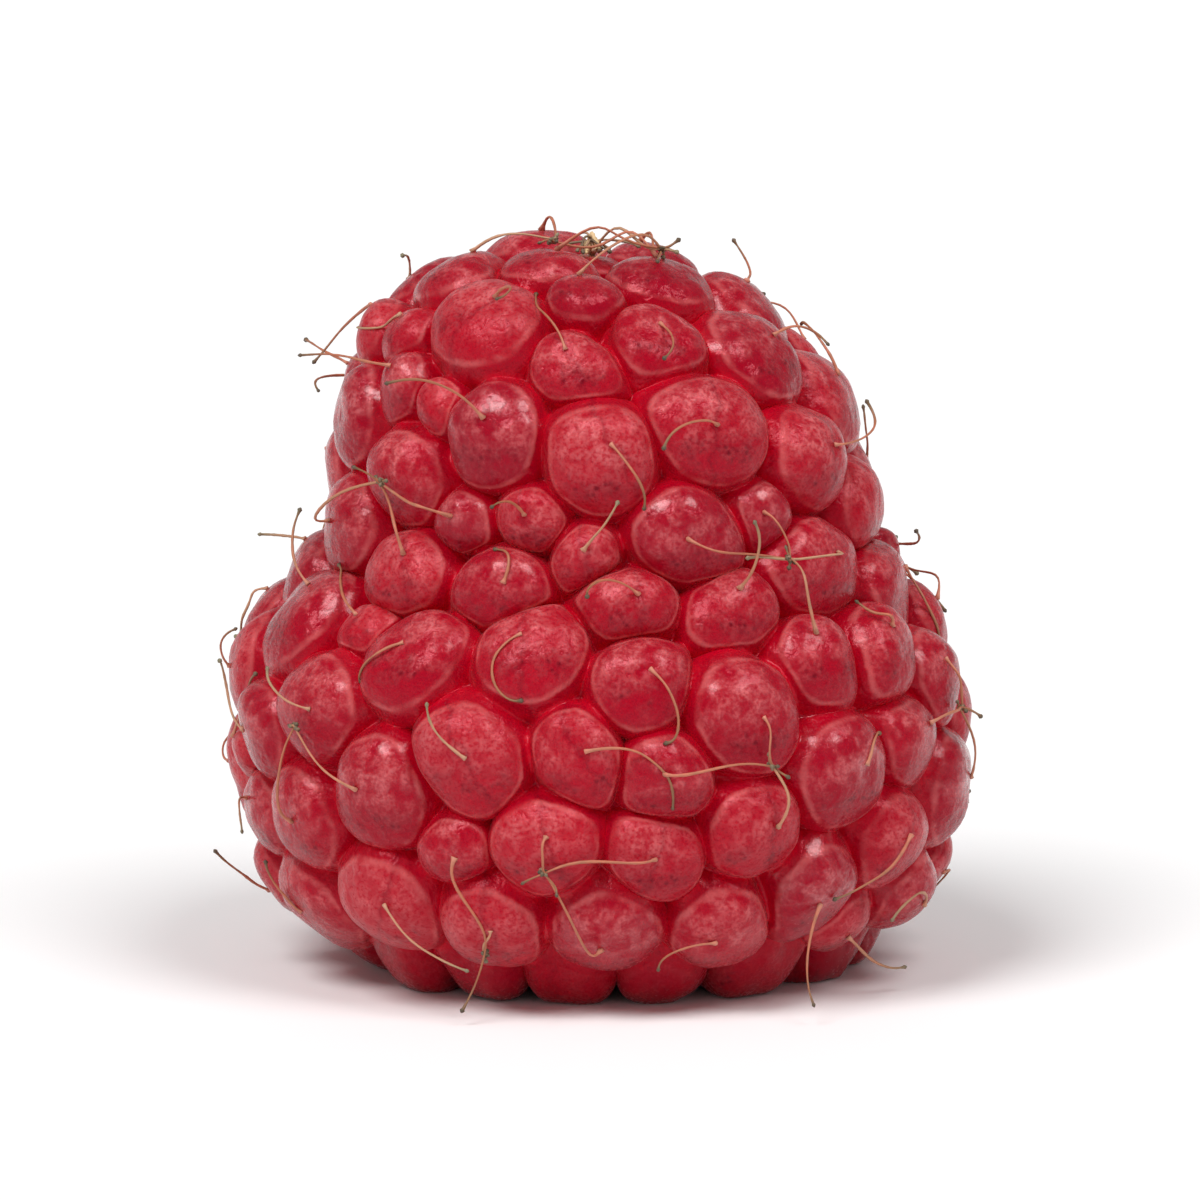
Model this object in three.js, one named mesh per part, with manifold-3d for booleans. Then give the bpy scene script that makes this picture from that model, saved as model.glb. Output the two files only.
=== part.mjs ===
// A picked raspberry: drupelets grown together into one thimble-shaped fruit, round the empty
// cone that its core left behind when it was picked. It stands on the ring of drupelets round
// its mouth, tip up. Millimetres, +Z up, with the origin on the surface under its middle.
import * as THREE from "three";
import { ConvexHull } from "three/addons/math/ConvexHull.js";
import { mergeVertices } from "three/addons/utils/BufferGeometryUtils.js";
import Module from "manifold-3d";

// Outside of the fruit, over the tops of the drupelets.
const HEIGHT = 21.7;
const BELLY_RADIUS = 10.9;
const BELLY_HEIGHT = 7.4;
const SHOULDER_HEIGHT = 9.5;
const WAIST_RADIUS = 8.3;
const WAIST_HEIGHT = 13.2;
const CROWN_RADIUS = 7.75;
const CROWN_HEIGHT = 16.5;

// How far it is from round: shares of its radius, and millimetres towards +X.
const OVAL = 0.02;
const THREE_SIDED = 0.018;
const SHOULDER_LEAN = -0.22;
const WAIST_LEAN = 0.2;
const CROWN_LEAN = -0.3;
const CROWN_SLOPE = -0.06;

// The drupelets. Their middles lie on one surface, DOME below the outside.
const DOME = 1.62; // from a drupelet's middle out to its top
const SPACING = 2.8; // between the middles of neighbours
const SEAM_LEVEL = 0.94; // where two drupelets meet, above the surface of the middles
const PIT_LEVEL = 0.38; // where three meet
const SEAM_LENGTH = 1.6; // a shorter seam rises less above the pits at its ends
const SMALL_SHARE = 0.2; // drupelets that stayed small
const SMALL_SIZES = [0.52, 0.76];
const FULL_SIZES = [0.88, 1.24];
const LEAST_DOME = 0.7; // the share of DOME that even the smallest would have
const BUD_SIZE = 0.5; // the small one sunk in the tip
const BUD_DOME = 1.25;
const ASKEW = 0.1; // how far a dome leans away from straight out
const DROOP = 0.2; // how far it leans down, so that it overhangs the next one
const FULLNESS = 0.86; // below 1, a dome is fuller than an ellipse
const UNEVEN = 0.15; // how much higher or lower than its size says a dome may stand

// The ring of long drupelets round the mouth, which the fruit stands on.
const RING_DRUPELETS = 15;
const RING_RADIUS = 6.4;
const RING_DOME = 2.1;
const RING_SEAM_LEVEL = 1.4; // where two of them meet, above the surface of the middles
const FLAT_DEPTH = 0.28; // how much its weight flattens the lowest of them

// The hollow.
const MOUTH_RADIUS = 5.2;
const LIP_HEIGHT = 3.5; // where the ring meets the wall of the hollow
const HOLLOW_HEIGHT = 15.6;
const HOLLOW_TOP_RADIUS = 2.2;

// How finely the surfaces are cut into facets. Shares of a dome go from its top to its edge.
const DOME_SHARES = [0.8, 0.45];
const RING_DOME_SHARES = [0.87, 0.7, 0.48, 0.25];
const SEAM_STEP = 1.4;
const HOLLOW_RINGS = 9;
const PROFILE_STEPS = 200;
const NEAR_AXIS = 0.2; // nearer to the axis than this, the surface counts as flat

const SEED = 4021;
const RELAX_ROUNDS = 220;
const ELBOW_ROOM = 1.12; // neighbours push each other while nearer than this times SPACING
const PUSH = 0.16; // the share of an overlap that one round takes away
const UP = new THREE.Vector3(0, 0, 1);

// A repeatable draw between two numbers (the Park-Miller generator).
function makeDraw(seed) {
  let state = seed;
  return (low, high) => {
    state = (state * 48271) % 2147483647;
    return low + ((high - low) * state) / 2147483647;
  };
}

function around(turn, radius, height) {
  return new THREE.Vector3(radius * Math.cos(turn), radius * Math.sin(turn), height);
}

function splineThrough(knots) {
  return new THREE.SplineCurve(knots.map(([r, z]) => new THREE.Vector2(r, z)));
}

// The curve that the drupelets' middles lie on, from the lip of the mouth to the tip, as points
// (radius, height). Each knows how far along the curve it is, counting steps in the length of
// their radius: that keeps angles when the surface is spread over a ball.
function middleProfile() {
  const belly = BELLY_RADIUS - DOME;
  const waist = WAIST_RADIUS - DOME;
  const crown = CROWN_RADIUS - DOME;
  const top = HEIGHT - DOME;
  const profile = splineThrough([
    [MOUTH_RADIUS, LIP_HEIGHT],
    [RING_RADIUS, RING_DOME - FLAT_DEPTH],
    [belly - 1.1, RING_DOME + 0.75],
    [belly - 0.25, BELLY_HEIGHT - 2.8],
    [belly, BELLY_HEIGHT],
    [belly - 0.35, SHOULDER_HEIGHT],
    [waist + 0.9, WAIST_HEIGHT - 2],
    [waist, WAIST_HEIGHT],
    [crown, CROWN_HEIGHT],
    [crown * 0.8, top - 1.6],
    [crown * 0.47, top - 0.35],
    [0, top],
  ]).getPoints(PROFILE_STEPS);
  profile.forEach((point, i) => {
    const before = profile[i - 1];
    const radius = before ? Math.max(NEAR_AXIS, (point.x + before.x) / 2) : 1;
    point.reached = before ? before.reached + point.distanceTo(before) / radius : 0;
  });
  return profile;
}

// The place on the profile nearest to (r, z), counted in its points from the lip.
function nearestPlace(profile, r, z) {
  let best = Infinity;
  let place = 0;
  for (let i = 0; i + 1 < profile.length; i++) {
    const { x, y } = profile[i];
    const dr = profile[i + 1].x - x;
    const dz = profile[i + 1].y - y;
    const share = ((r - x) * dr + (z - y) * dz) / (dr * dr + dz * dz);
    const held = THREE.MathUtils.clamp(share, 0, 1);
    const distance = Math.hypot(x + held * dr - r, y + held * dz - z);
    if (distance < best) {
      best = distance;
      place = i + held;
    }
  }
  return place;
}

// The profile at a place: radius and height, the outward normal, and how far along it is.
function profileAt(profile, place) {
  const i = Math.min(profile.length - 2, Math.floor(place));
  const a = profile[i];
  const b = profile[i + 1];
  const share = place - i;
  const length = a.distanceTo(b);
  return {
    r: a.x + share * (b.x - a.x),
    z: a.y + share * (b.y - a.y),
    nr: (b.y - a.y) / length,
    nz: (a.x - b.x) / length,
    reached: a.reached + share * (b.reached - a.reached),
  };
}

// A point of the fruit from its place on the profile, its turn and its level above the middles.
function onFruit(profile, place, turn, level) {
  const at = profileAt(profile, place);
  return around(turn, at.r + level * at.nr, at.z + level * at.nz);
}

function bump(height, middle, width) {
  return Math.exp(-(((height - middle) / width) ** 2));
}

// Moves a point of the round form to where it is on a fruit that grew a little out of round.
function grown(p) {
  const turn = Math.atan2(p.y, p.x);
  const oval = OVAL * Math.cos(2 * turn + 0.6);
  const threeSided = THREE_SIDED * Math.cos(3 * turn + 0.37 + 0.12 * p.z);
  const crown = THREE.MathUtils.smoothstep(p.z, CROWN_HEIGHT - 1, CROWN_HEIGHT + 3.7);
  const shoulder = bump(p.z, SHOULDER_HEIGHT, 1.8);
  const waist = bump(p.z, WAIST_HEIGHT, 1.8);
  const scale = 1 + oval + threeSided;
  const lean = SHOULDER_LEAN * shoulder + WAIST_LEAN * waist + CROWN_LEAN * crown;
  return new THREE.Vector3(p.x * scale + lean, p.y * scale, p.z + CROWN_SLOPE * p.x * crown);
}

// Places the drupelets: a ring of long ones at the mouth, a bud sunk in the tip, and the rest
// spread between them, each taking the room that its size asks for.
function layOut(profile) {
  const draw = makeDraw(SEED);
  const placed = [];
  for (let i = 0; i < RING_DRUPELETS; i++) {
    const turn = ((i + draw(-0.15, 0.15)) * 2 * Math.PI) / RING_DRUPELETS;
    const at = around(turn, RING_RADIUS + draw(-0.12, 0.12), RING_DOME - FLAT_DEPTH);
    placed.push({ fixed: true, size: draw(0.94, 1.06), dome: RING_DOME, at });
  }
  const tip = around(0, NEAR_AXIS, HEIGHT - DOME);
  placed.push({ fixed: true, size: BUD_SIZE, dome: BUD_DOME, at: tip });

  // The free ones start on a spiral with equal areas of the surface between them.
  const start = profile.findIndex((point) => point.x > RING_RADIUS + SPACING / 2);
  const areas = [0];
  for (let i = start + 1; i < profile.length; i++) {
    const step = profile[i].distanceTo(profile[i - 1]);
    areas.push(areas[areas.length - 1] + Math.PI * step * (profile[i].x + profile[i - 1].x));
  }
  const whole = areas[areas.length - 1];
  const count = Math.round(whole / (Math.sqrt(0.75) * SPACING ** 2));
  const goldenTurn = Math.PI * (3 - Math.sqrt(5));
  for (let i = 0; i < count; i++) {
    const reached = areas.findIndex((area) => area >= ((i + 0.5) / count) * whole);
    const from = profile[start + reached];
    const turn = i * goldenTurn + draw(-0.25, 0.25);
    const size = draw(...(draw(0, 1) < SMALL_SHARE ? SMALL_SIZES : FULL_SIZES));
    const dome = DOME * Math.min(1, LEAST_DOME + (1 - LEAST_DOME) * size);
    placed.push({ size, dome, at: around(turn, from.x, from.y) });
  }
  for (let round = 0; round < RELAX_ROUNDS; round++) relax(placed, profile);
  for (const d of placed) turnOut(d, profile, draw);
  return placed;
}

// Neighbours push each other apart, and the free ones slide over the surface.
function relax(placed, profile) {
  const pushes = placed.map(() => new THREE.Vector3());
  for (let i = 0; i < placed.length; i++) {
    for (let j = 0; j < placed.length; j++) {
      if (i === j) continue;
      const apart = placed[i].at.clone().sub(placed[j].at);
      const distance = apart.length();
      const wanted = (ELBOW_ROOM * SPACING * (placed[i].size + placed[j].size)) / 2;
      if (distance < wanted) pushes[i].addScaledVector(apart, PUSH * (wanted / distance - 1));
    }
  }
  placed.forEach((d, i) => {
    if (d.fixed) return;
    d.at.add(pushes[i]);
    const place = nearestPlace(profile, Math.hypot(d.at.x, d.at.y), d.at.z);
    d.at.copy(onFruit(profile, place, Math.atan2(d.at.y, d.at.x), 0));
  });
}

// Gives a placed drupelet its place on the profile and the way its dome faces.
function turnOut(d, profile, draw) {
  d.place = nearestPlace(profile, Math.hypot(d.at.x, d.at.y), d.at.z);
  d.turn = Math.atan2(d.at.y, d.at.x);
  d.dome += draw(-UNEVEN, UNEVEN);
  const { nr, nz } = profileAt(profile, d.place);
  const tilt = new THREE.Vector3(draw(-ASKEW, ASKEW), draw(-ASKEW, ASKEW), draw(-ASKEW, ASKEW));
  if (!d.fixed) tilt.z -= DROOP;
  d.out = around(d.turn, nr, nz).add(tilt).normalize();
}

// Spreads the surface over a ball so that angles stay as they are, and finds which drupelets
// meet there: each face of the convex hull is a pit with three of them round it. The point at
// the bottom of the ball, whose index is one past the drupelets', stands for the mouth.
function findPits(placed, profile) {
  const equator = profileAt(profile, nearestPlace(profile, BELLY_RADIUS, BELLY_HEIGHT)).reached;
  const points = placed.map((d) => {
    const { r, reached } = profileAt(profile, d.place);
    const latitude = 2 * Math.atan(Math.exp(reached - equator)) - Math.PI / 2;
    const spread = Math.cos(latitude) / Math.max(NEAR_AXIS, r); // on the ball, for 1 mm
    const lift = Math.cos(0.5 * SPACING * d.size * spread); // more room for a larger drupelet
    return around(d.turn, Math.cos(latitude), Math.sin(latitude)).divideScalar(lift);
  });
  points.push(UP.clone().negate());
  return new ConvexHull().setFromPoints(points).faces.map((face) => {
    const edges = [face.edge, face.edge.next, face.edge.next.next];
    const owners = edges.map((edge) => points.indexOf(edge.head().point));
    const turn = Math.atan2(face.normal.y, face.normal.x);
    if (owners.includes(placed.length)) return { owners, turn, place: 0 };
    const latitude = Math.asin(face.normal.z);
    const reached = equator + Math.log(Math.tan(latitude / 2 + Math.PI / 4));
    const after = profile.findIndex((point) => point.reached > reached);
    const i = (after < 0 ? profile.length - 1 : after) - 1;
    const share = (reached - profile[i].reached) / (profile[i + 1].reached - profile[i].reached);
    return { owners, turn, place: i + Math.min(1, share) };
  });
}

// The skin of the fruit as one closed mesh, in which neighbours share the points of their seam.
function skinGeometry() {
  const profile = middleProfile();
  const placed = layOut(profile);
  const mouth = placed.length;
  const points = [];
  const triangles = [];
  const addPoint = (point) => points.push(point) - 1;

  // What comes after each neighbour of a drupelet, turning left as seen from outside.
  const follows = [...placed, mouth].map(() => new Map());
  for (const { owners, place, turn } of findPits(placed, profile)) {
    const [a, b, c] = owners;
    const pit = { place, turn, index: addPoint(onFruit(profile, place, turn, PIT_LEVEL)) };
    follows[a].set(b, { next: c, pit });
    follows[b].set(c, { next: a, pit });
    follows[c].set(a, { next: b, pit });
  }

  // The points along the seam of two neighbours, between the pits at its ends.
  const seams = new Map();
  const seamPoints = (i, j, from, to) => {
    const key = Math.min(i, j) + " " + Math.max(i, j);
    if (seams.has(key)) return [...seams.get(key)].reverse();
    const length = points[from.index].distanceTo(points[to.index]);
    const steps = Math.round(length / SEAM_STEP) + 1;
    const top = Math.max(i, j) < RING_DRUPELETS ? RING_SEAM_LEVEL : SEAM_LEVEL;
    const rise = (top - PIT_LEVEL) * Math.min(1, length / SEAM_LENGTH);
    const bend = Math.atan2(Math.sin(to.turn - from.turn), Math.cos(to.turn - from.turn));
    const made = [];
    for (let k = 1; k < steps; k++) {
      const share = k / steps;
      const place = from.place + share * (to.place - from.place);
      const level = PIT_LEVEL + 4 * rise * share * (1 - share);
      made.push(addPoint(onFruit(profile, place, from.turn + share * bend, level)));
    }
    seams.set(key, made);
    return made;
  };

  // The points round one drupelet, or round the mouth.
  const edgeOf = (i) => {
    const edge = [];
    const [first] = follows[i].values();
    let here = first;
    do {
      const after = follows[i].get(here.next);
      edge.push(here.pit.index, ...seamPoints(i, here.next, here.pit, after.pit));
      here = after;
    } while (here !== first);
    return edge;
  };

  // Closes an edge with rings of new points that end in a single one, where the share is 0.
  const close = (edge, shares, pointAt) => {
    let outer = edge;
    for (const share of shares) {
      const inner = edge.map((index) => addPoint(pointAt(points[index], share)));
      outer.forEach((a, k) => {
        const l = (k + 1) % edge.length;
        triangles.push(a, outer[l], inner[k], outer[l], inner[l], inner[k]);
      });
      outer = inner;
    }
    const last = addPoint(pointAt(points[edge[0]], 0));
    outer.forEach((a, k) => triangles.push(a, outer[(k + 1) % edge.length], last));
  };
  placed.forEach((d, i) => {
    const edge = edgeOf(i);
    close(edge, i < RING_DRUPELETS ? RING_DOME_SHARES : DOME_SHARES, domeOver(d, edge, points));
  });
  const hollowShares = [];
  for (let k = HOLLOW_RINGS; k > 0; k--) hollowShares.push(k / (HOLLOW_RINGS + 1));
  close(edgeOf(mouth), hollowShares, hollowWall());

  const positions = points.flatMap((point) => grown(point).toArray());
  const geometry = new THREE.BufferGeometry();
  geometry.setAttribute("position", new THREE.Float32BufferAttribute(positions, 3));
  return geometry.setIndex(triangles);
}

// The dome of a drupelet, as a full quarter of an ellipse from its top to each edge point.
function domeOver(d, edge, points) {
  const middle = new THREE.Vector3();
  for (const index of edge) middle.addScaledVector(points[index], 1 / edge.length);
  middle.addScaledVector(d.out, -middle.clone().sub(d.at).dot(d.out));
  return (edgePoint, share) => {
    const side = edgePoint.clone().sub(middle);
    const height = side.dot(d.out);
    const turn = (share * Math.PI) / 2;
    const risen = height + (d.dome - height) * Math.cos(turn) ** FULLNESS;
    side.addScaledVector(d.out, -height).multiplyScalar(Math.sin(turn) ** FULLNESS);
    return side.addScaledVector(d.out, risen).add(middle);
  };
}

// The wall of the hollow, from the scalloped lip, where the share is 1, up to its round end.
function hollowWall() {
  const curve = splineThrough([
    [MOUTH_RADIUS, LIP_HEIGHT],
    [MOUTH_RADIUS - 0.35, LIP_HEIGHT + 3],
    [MOUTH_RADIUS - 1.2, HOLLOW_HEIGHT - 5],
    [HOLLOW_TOP_RADIUS, HOLLOW_HEIGHT - 1],
    [0, HOLLOW_HEIGHT],
  ]);
  return (lipPoint, share) => {
    const { x: radius, y: height } = curve.getPoint(1 - share);
    const scallop = share ** 5 * (Math.hypot(lipPoint.x, lipPoint.y) - MOUTH_RADIUS);
    return around(Math.atan2(lipPoint.y, lipPoint.x), radius + scallop, height);
  };
}

const wasm = await Module();
wasm.setup();

function solidOf(geometry) {
  geometry.deleteAttribute("normal");
  geometry.deleteAttribute("uv");
  const merged = mergeVertices(geometry, 1e-4);
  const vertProperties = merged.attributes.position.array;
  const triVerts = new Uint32Array(merged.index.array);
  return new wasm.Manifold(new wasm.Mesh({ numProp: 3, vertProperties, triVerts }));
}

// The fruit, cut flat where it rests, with its middle over the origin.
function fruitGeometry() {
  const below = new THREE.BoxGeometry(4 * BELLY_RADIUS, 4 * BELLY_RADIUS, HEIGHT);
  below.translate(0, 0, -HEIGHT / 2);
  const mesh = solidOf(skinGeometry()).subtract(solidOf(below)).getMesh();
  const geometry = new THREE.BufferGeometry();
  geometry.setAttribute("position", new THREE.BufferAttribute(mesh.vertProperties, 3));
  geometry.setIndex(new THREE.BufferAttribute(mesh.triVerts, 1));
  geometry.computeBoundingBox();
  const { min, max } = geometry.boundingBox;
  geometry.translate(-(min.x + max.x) / 2, -(min.y + max.y) / 2, -min.z);
  geometry.computeVertexNormals();
  return geometry;
}

const skin = new THREE.MeshStandardMaterial({ color: 0xb21f35, roughness: 0.45, metalness: 0 });
const berry = new THREE.Mesh(fruitGeometry(), skin);
berry.name = "berry";

const raspberry = new THREE.Group();
raspberry.add(berry);
export default raspberry;
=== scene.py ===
"""A picked raspberry, dressed for close views.

The drupelets are laid out by the same rule as in the solid, and made fine. The dried styles that
grow on them and the colours of the skin are added. Sizes are in millimetres until a mesh is
written, and +Z is up through the tip.
"""

import math

import bpy
import numpy as np
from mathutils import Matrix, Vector, noise
from mathutils.bvhtree import BVHTree


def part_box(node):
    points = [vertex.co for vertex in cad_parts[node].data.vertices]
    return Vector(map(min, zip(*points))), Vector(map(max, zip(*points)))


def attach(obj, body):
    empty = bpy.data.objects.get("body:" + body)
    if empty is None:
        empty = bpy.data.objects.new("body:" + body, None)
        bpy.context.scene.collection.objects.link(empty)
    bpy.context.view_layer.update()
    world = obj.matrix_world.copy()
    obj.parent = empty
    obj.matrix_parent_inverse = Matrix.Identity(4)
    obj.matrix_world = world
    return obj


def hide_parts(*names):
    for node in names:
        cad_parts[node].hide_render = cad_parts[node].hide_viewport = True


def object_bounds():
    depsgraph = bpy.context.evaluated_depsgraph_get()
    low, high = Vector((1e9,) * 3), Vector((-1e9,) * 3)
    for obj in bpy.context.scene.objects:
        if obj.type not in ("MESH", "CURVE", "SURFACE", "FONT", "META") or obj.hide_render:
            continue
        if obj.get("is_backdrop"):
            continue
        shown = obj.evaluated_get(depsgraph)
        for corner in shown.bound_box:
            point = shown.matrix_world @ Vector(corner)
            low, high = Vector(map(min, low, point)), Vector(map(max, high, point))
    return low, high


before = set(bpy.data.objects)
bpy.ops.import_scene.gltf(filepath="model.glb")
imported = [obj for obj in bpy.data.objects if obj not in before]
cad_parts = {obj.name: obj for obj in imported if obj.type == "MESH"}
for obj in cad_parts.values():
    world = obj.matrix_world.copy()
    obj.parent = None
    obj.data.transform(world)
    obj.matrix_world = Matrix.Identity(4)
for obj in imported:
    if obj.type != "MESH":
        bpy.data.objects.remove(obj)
cad_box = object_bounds()

MM = 0.001

# The outside, over the tops of the drupelets. What the solid has too has the same value.
HEIGHT = 21.7
BELLY_RADIUS = 10.9
BELLY_HEIGHT = 7.4
SHOULDER_HEIGHT = 9.5
WAIST_RADIUS = 8.3
WAIST_HEIGHT = 13.2
CROWN_RADIUS = 7.75
CROWN_HEIGHT = 16.5

# How far it is from round: shares of its radius, and millimetres towards +X.
OVAL = 0.02
OVAL_TURN = 0.6
THREE_SIDED = 0.018
THREE_SIDED_TURN = 0.37
THREE_SIDED_TWIST = 0.12  # radians to a millimetre of height
SHOULDER_LEAN = -0.22
WAIST_LEAN = 0.2
CROWN_LEAN = -0.3
CROWN_SLOPE = -0.06
CROWN_LEAN_START = CROWN_HEIGHT - 1
CROWN_LEAN_END = CROWN_HEIGHT + 3.7
LEAN_WIDTH = 1.8  # how far above and below its height each of these leans

# The drupelets. Their middles lie on one surface, DOME below the outside.
DOME = 1.62  # from a drupelet's middle out to its top
SPACING = 2.8  # between the middles of neighbours
SEAM_LEVEL = 0.94  # where two drupelets meet, above the surface of the middles
PIT_LEVEL = 0.38  # where three meet
SEAM_LENGTH = 1.6  # a shorter seam rises less above the pits at its ends
SMALL_SHARE = 0.2  # drupelets that stayed small
SMALL_SIZES = (0.52, 0.76)
FULL_SIZES = (0.88, 1.24)
LEAST_DOME = 0.7  # the share of DOME that even the smallest would have
BUD_SIZE = 0.5  # the small one sunk in the tip
BUD_DOME = 1.25
ASKEW = 0.1  # how far a dome leans away from straight out
DROOP = 0.2  # how far it leans down, so that it overhangs the next one
FULLNESS = 0.86  # below 1, a dome is fuller than an ellipse
UNEVEN = 0.15  # how much higher or lower than its size says a dome may stand
TURN_SHIFT = 0.25  # radians from its regular place, before they settle

# The ring of long drupelets round the mouth, which the fruit stands on.
RING_DRUPELETS = 15
RING_RADIUS = 6.4
RING_DOME = 2.1
RING_SEAM_LEVEL = 1.4  # where two of them meet, above the surface of the middles
RING_SIZES = (0.94, 1.06)
RING_TURN_SHIFT = 0.15  # along the ring, as a share of their spacing
RING_SHIFT = 0.12  # out or in
FLAT_DEPTH = 0.28  # how much its weight flattens the lowest of them

# The hollow.
MOUTH_RADIUS = 5.2
LIP_HEIGHT = 3.5  # where the ring meets the wall of the hollow
HOLLOW_HEIGHT = 15.6
HOLLOW_TOP_RADIUS = 2.2

# The laying out.
PROFILE_STEPS = 200
NEAR_AXIS = 0.2  # nearer to the axis than this, the surface counts as flat
SEED = 4021
RELAX_ROUNDS = 220
ELBOW_ROOM = 1.12  # neighbours push each other while nearer than this times SPACING
PUSH = 0.16  # the share of an overlap that one round takes away

# How finely the skin is made. Shares of a dome go from its edge to its top.
FINE_SEAM_STEP = 0.21
DOME_SHARES = (0.985, 0.955, 0.91, 0.85, 0.78, 0.7, 0.61, 0.51, 0.41, 0.31, 0.21, 0.1)
RING_DOME_SHARES = (0.985, 0.96, 0.92, 0.87, 0.81, 0.74, 0.66, 0.57, 0.48, 0.39, 0.3, 0.2, 0.1)
FEWEST_IN_RING = 9
THINNING = 0.7  # below 1, the rings of points thin out only near the top of a dome
ROUNDING = 3.2  # how many waves of a seam's outline reach up into the dome over it
CORNER_POWER = 9  # the higher, the nearer to the seam the rest of its outline is lost
RING_SEAM_POWER = 2.6  # the higher, the narrower the red of the seams in the ring
FOLD_TURN = 0.5  # radians either way
ROOT_TIPWARD = (0.05, 0.45)  # where its style grows, as shares of the way to its edge
ROOT_ASIDE = 0.25
ROOT_REACH = 0.24  # how far round a style's root the skin draws in

# The unevenness of the skin: how long its waves are, and how high.
WIDE_WAVE = 1.5
WIDE_SWELL = 0.13
NARROW_WAVE = 0.55
NARROW_SWELL = 0.032

# The wall of the hollow, and the inner ends of the drupelets.
HOLLOW_RINGS = 64
FEWEST_IN_HOLLOW_RING = 12
LIP_POWER = 5  # the higher, the sooner the scalloped outline of the lip is lost inside
INNER_END_RELIEF = 0.17
INNER_END_REACH = (0.1, 0.75)
INNER_SEAM_REACH = (0.4, 0.8)
ATTACHMENT_REACH = (0.12, 0.26)

# A dried style: a flat, twisted thread from near the top of its drupelet, with a knob at its end.
STYLE_RADIUS = 0.05
STYLE_SIDES = 6
STYLE_STEPS = 22
WIDTHS = (0.88, 1.12)  # shares of its width, drawn for each step
FLATNESS = 0.72  # its thin side, as a share of its wide one
TWIST = 6  # radians either way
TAPER = 0.25  # the share of its width that it loses
FOOT_SWELL = 1.2  # the share by which it is wider at its root
FOOT_LENGTH = 0.04  # as a share of its length
KNOB_RADIUS = 0.078
KNOB_SIZES = (0.75, 1.1)  # shares of that, as are the next three
KNOB_OUTLINE = (0.65, 1.0, 0.6)  # the widths of its rings
KNOB_RINGS = (0.7, 1.35)  # how far the second and the third are from the first
KNOB_END = 0.4  # how far its end is past them

# How the styles lie.
STYLE_SHARE = 0.94  # of the drupelets kept theirs
LOWEST_ROOT = 1.0
STYLE_CLEARANCE = 0.045
LIFTING_ROUNDS = 6
STYLE_TRIES = 14
BOX_MARGIN = 0.5  # how far a style may stand outside the solid's box
LENGTHS = (1.6, 3.9)
FLATTEST = 88  # degrees from straight out
MOST_UPRIGHT = 28
FLAT_POWER = 1.6  # the higher, the more of them lie flat
BENDS = (-0.3, 1.7)  # radians, down and aside, from root to end
CURLS = (-1.9, 1.9)
HOOK = 2.2  # how much more tightly they bend at the end
KINK = 0.09

# The dimple in the tip.
TUFT = 7  # withered styles in it
TUFT_LENGTHS = (1.0, 2.0)
TUFT_CLEARANCE = 0.12
TUFT_RISES = (0.15, 0.5)
TUFT_STARTS = (0.1, 0.5)  # how much of each lies beyond the middle
TUFT_CURVES = (0.3, 1.2)  # radians
CREAM_ENDS = 4  # dry, pale ends of the core among them
CREAM_LENGTHS = (0.4, 0.8)
CREAM_WIDTH = 2.4

# Where styles have caught in one another.
MEETINGS = 34
MOST_CAUGHT = 4  # styles at one meeting
MEETING_DROP = (-1.6, -0.5)  # from a drupelet's top
MEETING_HEIGHT = (0.1, 0.45)  # above the skin
MEETING_SPREAD = 0.05
NEAREST_MEETING = 0.7
FARTHEST_MEETING = 3.3
LOWEST_MEETING = 1.6
RUN_ON = (-1.2, 1.5)  # past the meeting, where it is more than 0
KNOT_PIECES = 3  # dark bits in the knot
KNOT_LENGTHS = (0.06, 0.16)

# The way of a caught style: how far along it is, and how far it rises and wanders there, all as
# shares of the whole.
CAUGHT_WAY = ((0.25, (0.12, 0.35), 0.1), (0.65, (0.0, 0.3), 0.14))

# A style's "tone" is from 0 to 1 where it is sound, more where it is withered, or CREAM.
WITHERED = (1.2, 1.9)
KNOT_TONES = (1.5, 1.9)
CREAM = -1.0


def make_draw(seed):
    """A repeatable draw between two numbers (the Park-Miller generator)."""
    state = [seed]

    def draw(low, high):
        state[0] = state[0] * 48271 % 2147483647
        return low + (high - low) * state[0] / 2147483647

    return draw


def smoothstep(x, low, high):
    t = np.clip((x - low) / (high - low), 0, 1)
    return t * t * (3 - 2 * t)


def bump(height, middle, width):
    return np.exp(-(((height - middle) / width) ** 2))


def around(turn, radius, height):
    return np.stack([radius * np.cos(turn), radius * np.sin(turn), height + 0 * turn], axis=-1)


def unit(v):
    return v / np.linalg.norm(v, axis=-1, keepdims=True)


def on_spline(knots, t):
    """Points of the uniform Catmull-Rom spline through the knots, for t from 0 to 1."""
    knots = np.array(knots, float)
    last = len(knots) - 1
    reached = np.asarray(t, float) * last
    i = np.minimum(np.floor(reached).astype(int), last)
    w = (reached - i)[..., None]
    p0 = knots[np.maximum(i - 1, 0)]
    p1 = knots[i]
    p2 = knots[np.minimum(i + 1, last)]
    p3 = knots[np.minimum(i + 2, last)]
    v0 = (p2 - p0) / 2
    v1 = (p3 - p1) / 2
    return (2 * p1 - 2 * p2 + v0 + v1) * w**3 + (3 * p2 - 3 * p1 - 2 * v0 - v1) * w**2 + v0 * w + p1


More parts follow.
